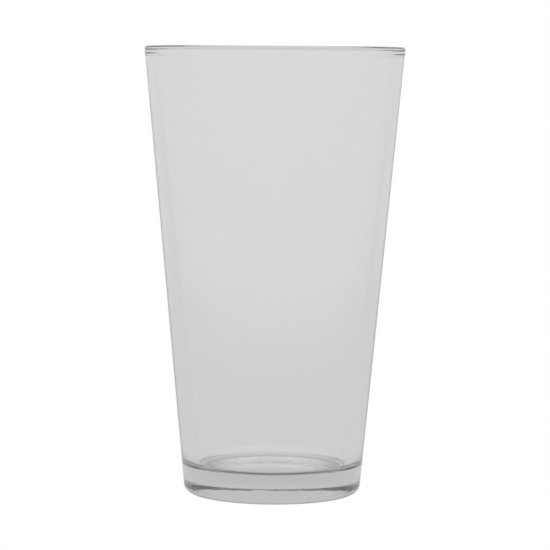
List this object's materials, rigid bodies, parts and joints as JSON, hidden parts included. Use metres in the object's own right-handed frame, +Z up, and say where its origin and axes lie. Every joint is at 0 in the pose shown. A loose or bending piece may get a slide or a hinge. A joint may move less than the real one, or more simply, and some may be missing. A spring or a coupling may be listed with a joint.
{
  "type": "mixing glass",
  "caption": "Conical clear glass for mixing drinks: straight tapered wall, beaded brim, thick flat base with a shallow hollow underneath.",
  "frame": {"origin": "centre of the resting plane, on the glass's own axis", "axes": "+Z up the axis of the glass, from the base to the brim; the glass is round, so X and Y are any two square directions"},
  "size_m": [0.0886, 0.0884, 0.1524],
  "materials": {
    "clear_glass": "fire-polished, clear and nearly neutral, with a very slight tint where thick"
  },
  "bodies": {
    "root": {"glass_body": "clear_glass"}
  },
  "joints": []
}
